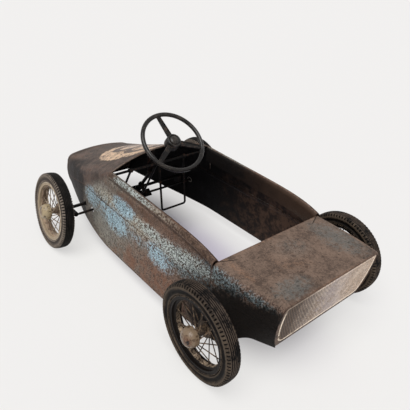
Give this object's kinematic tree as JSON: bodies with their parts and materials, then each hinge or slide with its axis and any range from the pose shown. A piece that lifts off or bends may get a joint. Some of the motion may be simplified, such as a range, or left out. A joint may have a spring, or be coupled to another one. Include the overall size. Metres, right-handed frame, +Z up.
{
  "type": "racing pedal car",
  "caption": "Child's racing pedal car: long rounded sheet steel body with open cockpit and rear deck, wire wheels, steering wheel and linkage, swinging pedals.",
  "frame": {"origin": "on the floor under the middle of the car's overall box", "axes": "the car faces -Y, its left side is +X, +Z is up"},
  "size_m": [0.7072, 1.1625, 0.4457],
  "materials": {
    "body_paint": "worn brown paint over rusted sheet steel",
    "side_paint": "worn blue and brown paint over rusted sheet steel",
    "tail_paint": "worn grey-beige paint",
    "dark_steel": "dark painted steel with rust",
    "wheel_paint": "worn beige paint with rust",
    "wheel_grip": "semi-gloss black moulded grip",
    "tyre": "old dusty ribbed rubber"
  },
  "bodies": {
    "body": {"bonnet": "body_paint", "left_upper_side": "body_paint", "right_upper_side": "body_paint", "left_lower_side": "side_paint", "right_lower_side": "side_paint", "rear_deck": "body_paint", "tail_panel": "tail_paint", "nose_ring": "body_paint", "nose_grille": "dark_steel", "front_axle_beam": "dark_steel", "left_axle_saddle": "dark_steel", "right_axle_saddle": "dark_steel", "column_bracket": "body_paint", "column_foot": "dark_steel", "pedal_shaft": "dark_steel", "left_axle_bearing": "dark_steel", "right_axle_bearing": "dark_steel"},
    "steering": {"steering_column": "dark_steel", "drop_arm": "dark_steel", "steering_wheel_rim": "wheel_grip", "steering_wheel_spider": "dark_steel", "steering_wheel_cap": "wheel_grip"},
    "left_knuckle": {"left_knuckle": "dark_steel", "left_kingpin": "dark_steel", "left_tie_pin": "dark_steel", "left_hub_nut": "dark_steel"},
    "right_knuckle": {"right_knuckle": "dark_steel", "right_kingpin": "dark_steel", "right_tie_pin": "dark_steel", "right_hub_nut": "dark_steel"},
    "tie_rod": {"tie_rod": "dark_steel"},
    "front_left_wheel": {"front_left_tyre": "tyre", "front_left_rim": "wheel_paint", "front_left_spokes": "wheel_paint", "front_left_hub": "wheel_paint", "front_left_hub_cap": "wheel_paint"},
    "front_right_wheel": {"front_right_tyre": "tyre", "front_right_rim": "wheel_paint", "front_right_spokes": "wheel_paint", "front_right_hub": "wheel_paint", "front_right_hub_cap": "wheel_paint"},
    "rear_axle": {"rear_axle": "dark_steel", "rear_axle_nuts": "dark_steel", "rear_left_tyre": "tyre", "rear_left_rim": "wheel_paint", "rear_left_spokes": "wheel_paint", "rear_left_hub": "wheel_paint", "rear_left_hub_cap": "wheel_paint"},
    "rear_right_wheel": {"rear_right_tyre": "tyre", "rear_right_rim": "wheel_paint", "rear_right_spokes": "wheel_paint", "rear_right_hub": "wheel_paint", "rear_right_hub_cap": "wheel_paint"},
    "left_pedal": {"left_pedal": "dark_steel"},
    "right_pedal": {"right_pedal": "dark_steel"}
  },
  "joints": [
    {"name": "steering_turn", "type": "hinge", "parent": "body", "child": "steering", "pos_m": [0, -0.0485, 0.375], "axis": [0, 0.6561, 0.7547], "range_deg": [-30, 30]},
    {"name": "left_knuckle_turn", "type": "hinge", "parent": "body", "child": "left_knuckle", "pos_m": [0.262, -0.2875, 0.11688], "axis": [0, 0, 1], "range_deg": [-17, 17]},
    {"name": "right_knuckle_turn", "type": "hinge", "parent": "body", "child": "right_knuckle", "pos_m": [-0.262, -0.2875, 0.11688], "axis": [0, 0, 1], "range_deg": [-17, 17]},
    {"name": "tie_rod_swing", "type": "hinge", "parent": "left_knuckle", "child": "tie_rod", "pos_m": [0.262, -0.2215, 0.12398], "axis": [0, 0, 1], "range_deg": [-17, 17]},
    {"name": "front_left_wheel_spin", "type": "hinge", "parent": "left_knuckle", "child": "front_left_wheel", "pos_m": [0.309, -0.2875, 0.12433], "axis": [0.9877, 0, 0.1564], "continuous": true},
    {"name": "front_right_wheel_spin", "type": "hinge", "parent": "right_knuckle", "child": "front_right_wheel", "pos_m": [-0.309, -0.2875, 0.12433], "axis": [0.9877, 0, -0.1564], "continuous": true},
    {"name": "rear_axle_spin", "type": "hinge", "parent": "body", "child": "rear_axle", "pos_m": [0, 0.4245, 0.125], "axis": [1, 0, 0], "continuous": true},
    {"name": "rear_right_wheel_spin", "type": "hinge", "parent": "rear_axle", "child": "rear_right_wheel", "pos_m": [-0.266, 0.4245, 0.125], "axis": [1, 0, 0], "continuous": true},
    {"name": "left_pedal_swing", "type": "hinge", "parent": "body", "child": "left_pedal", "pos_m": [0.07, -0.1065, 0.288], "axis": [1, 0, 0], "range_deg": [-13, 64]},
    {"name": "right_pedal_swing", "type": "hinge", "parent": "body", "child": "right_pedal", "pos_m": [-0.034, -0.1065, 0.288], "axis": [1, 0, 0], "range_deg": [-41, 27]}
  ],
  "couplings": [
    {"joint": "left_knuckle_turn", "follows": "steering_turn", "ratio": 0.51694},
    {"joint": "right_knuckle_turn", "follows": "steering_turn", "ratio": 0.51694},
    {"joint": "tie_rod_swing", "follows": "steering_turn", "ratio": -0.51694}
  ]
}
